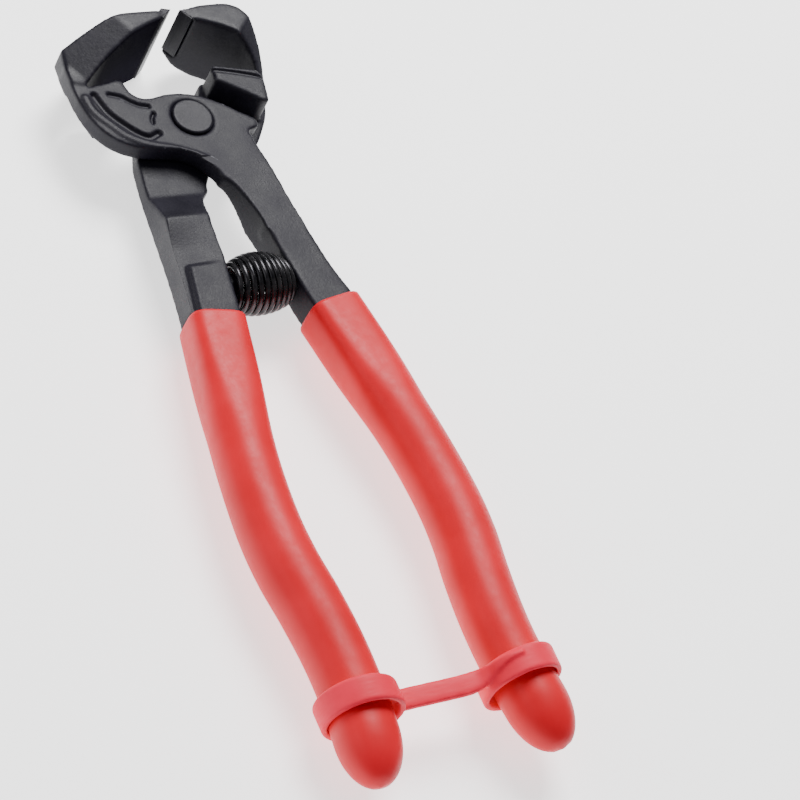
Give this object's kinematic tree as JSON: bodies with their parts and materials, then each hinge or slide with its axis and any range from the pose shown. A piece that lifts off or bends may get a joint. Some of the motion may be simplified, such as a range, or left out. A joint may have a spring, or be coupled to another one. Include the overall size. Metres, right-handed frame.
{
  "type": "mosaic glass nippers",
  "caption": "Hand nippers for glass mosaic: two crossing forged levers on a rivet with facing claw jaws, sprung handles, dipped grips and a strap that holds them shut.",
  "frame": {"origin": "on the pivot axis, at the flat tail face of the rivet", "axes": "+Z along the pivot axis towards the rivet head, +Y from the pivot to the cutting edges, +X to the side of the front lever's handle"},
  "size_m": [0.0628, 0.2091, 0.024],
  "materials": {
    "lever_steel": "satin black paint over forged steel",
    "edge_strip": "smooth black, ground",
    "rivet_steel": "satin black",
    "spring_wire": "polished black",
    "grip_vinyl": "glossy dipped vinyl",
    "strap_plastic": "satin moulded"
  },
  "bodies": {
    "front_half": {"front_lever": "lever_steel", "pivot_rivet": "rivet_steel", "front_edge_strip": "edge_strip", "front_spring_peg": "lever_steel", "front_grip": "grip_vinyl", "retaining_strap": "strap_plastic", "return_spring": "spring_wire"},
    "rear_half": {"rear_lever": "lever_steel", "rear_edge_strip": "edge_strip", "rear_spring_peg": "lever_steel", "rear_grip": "grip_vinyl"}
  },
  "joints": [
    {"name": "pivot", "type": "hinge", "parent": "front_half", "child": "rear_half", "pos_m": [0, 0, 0.0055], "axis": [0, 0, 1], "range_deg": [0, 4.5], "stiffness_Nm_per_rad": 4.4, "springref_deg": -5.73, "deforming": ["return_spring", "retaining_strap"]}
  ]
}
